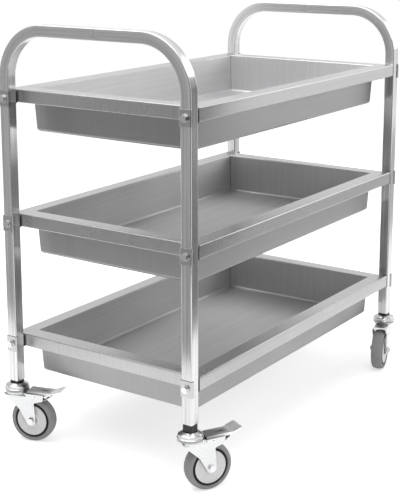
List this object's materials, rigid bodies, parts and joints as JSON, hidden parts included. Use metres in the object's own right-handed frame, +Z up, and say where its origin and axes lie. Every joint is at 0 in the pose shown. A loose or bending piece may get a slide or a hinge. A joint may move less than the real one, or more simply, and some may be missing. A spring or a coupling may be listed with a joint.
{
  "type": "serving trolley",
  "caption": "Stainless steel serving trolley with deep trays between two bent square-tube end frames, on swivel casters, some with a brake pedal.",
  "frame": {"origin": "on the floor, under the middle of the trolley", "axes": "+X along the trays towards the right end frame, -Y towards the near long side, +Z up"},
  "size_m": [0.9344, 0.5988, 0.92],
  "materials": {
    "sheet": "satin brushed",
    "tube": "satin brushed",
    "clip": "satin",
    "bolt": "bright plated",
    "zinc": "bright zinc plated",
    "leaf": "spring steel",
    "pad": "moulded",
    "plug": "moulded",
    "hub": "moulded",
    "cover": "smooth moulded",
    "tyre": "soft non-marking"
  },
  "bodies": {
    "frame": {"end_frame_left": "tube", "end_frame_right": "tube", "tray_top": "sheet", "tray_middle": "sheet", "tray_bottom": "sheet", "saddle_clips": "clip", "spacer_pads": "pad", "tray_bolts": "bolt", "bolt_washers": "bolt", "tray_nuts": "bolt", "stem_plugs": "plug", "stem_bolts": "zinc", "expander_cones": "zinc", "dust_caps": "zinc", "race_balls": "bolt"},
    "swivel_near_left": {"fork_near_left": "zinc", "race_near_left": "zinc", "axle_bolt_near_left": "bolt", "axle_nut_near_left": "bolt", "axle_sleeve_near_left": "bolt", "lever_pin_near_left": "bolt"},
    "wheel_near_left": {"wheel_centre_near_left": "hub", "wheel_covers_near_left": "cover", "tyre_near_left": "tyre"},
    "pedal_near_left": {"brake_lever_near_left": "zinc", "brake_leaf_near_left": "leaf"},
    "swivel_far_left": {"fork_far_left": "zinc", "race_far_left": "zinc", "axle_bolt_far_left": "bolt", "axle_nut_far_left": "bolt", "axle_sleeve_far_left": "bolt", "lever_pin_far_left": "bolt"},
    "wheel_far_left": {"wheel_centre_far_left": "hub", "wheel_covers_far_left": "cover", "tyre_far_left": "tyre"},
    "pedal_far_left": {"brake_lever_far_left": "zinc", "brake_leaf_far_left": "leaf"},
    "swivel_near_right": {"fork_near_right": "zinc", "race_near_right": "zinc", "axle_bolt_near_right": "bolt", "axle_nut_near_right": "bolt", "axle_sleeve_near_right": "bolt"},
    "wheel_near_right": {"wheel_centre_near_right": "hub", "wheel_covers_near_right": "cover", "tyre_near_right": "tyre"},
    "swivel_far_right": {"fork_far_right": "zinc", "race_far_right": "zinc", "axle_bolt_far_right": "bolt", "axle_nut_far_right": "bolt", "axle_sleeve_far_right": "bolt"},
    "wheel_far_right": {"wheel_centre_far_right": "hub", "wheel_covers_far_right": "cover", "tyre_far_right": "tyre"}
  },
  "joints": [
    {"name": "swivel_near_left_turn", "type": "hinge", "parent": "frame", "child": "swivel_near_left", "pos_m": [-0.4375, -0.2325, 0.112], "axis": [0, 0, 1], "continuous": true},
    {"name": "wheel_near_left_roll", "type": "hinge", "parent": "swivel_near_left", "child": "wheel_near_left", "pos_m": [-0.40307, -0.25081, 0.05], "axis": [0.4695, 0.8829, 0], "continuous": true},
    {"name": "brake_near_left_press", "type": "hinge", "parent": "swivel_near_left", "child": "pedal_near_left", "pos_m": [-0.39688, -0.2541, 0.1065], "axis": [0.4695, 0.8829, 0], "range_deg": [0, 12]},
    {"name": "swivel_far_left_turn", "type": "hinge", "parent": "frame", "child": "swivel_far_left", "pos_m": [-0.4375, 0.2325, 0.112], "axis": [0, 0, 1], "continuous": true},
    {"name": "wheel_far_left_roll", "type": "hinge", "parent": "swivel_far_left", "child": "wheel_far_left", "pos_m": [-0.4261, 0.1952, 0.05], "axis": [0.9563, 0.2924, 0], "continuous": true},
    {"name": "brake_far_left_press", "type": "hinge", "parent": "swivel_far_left", "child": "pedal_far_left", "pos_m": [-0.42405, 0.18851, 0.1065], "axis": [0.9563, 0.2924, 0], "range_deg": [0, 12]},
    {"name": "swivel_near_right_turn", "type": "hinge", "parent": "frame", "child": "swivel_near_right", "pos_m": [0.4375, -0.2325, 0.112], "axis": [0, 0, 1], "continuous": true},
    {"name": "wheel_near_right_roll", "type": "hinge", "parent": "swivel_near_right", "child": "wheel_near_right", "pos_m": [0.39966, -0.24194, 0.05], "axis": [0.2419, -0.9703, 0], "continuous": true},
    {"name": "swivel_far_right_turn", "type": "hinge", "parent": "frame", "child": "swivel_far_right", "pos_m": [0.4375, 0.2325, 0.112], "axis": [0, 0, 1], "continuous": true},
    {"name": "wheel_far_right_roll", "type": "hinge", "parent": "swivel_far_right", "child": "wheel_far_right", "pos_m": [0.40852, 0.2586, 0.05], "axis": [-0.6691, -0.7431, 0], "continuous": true}
  ]
}
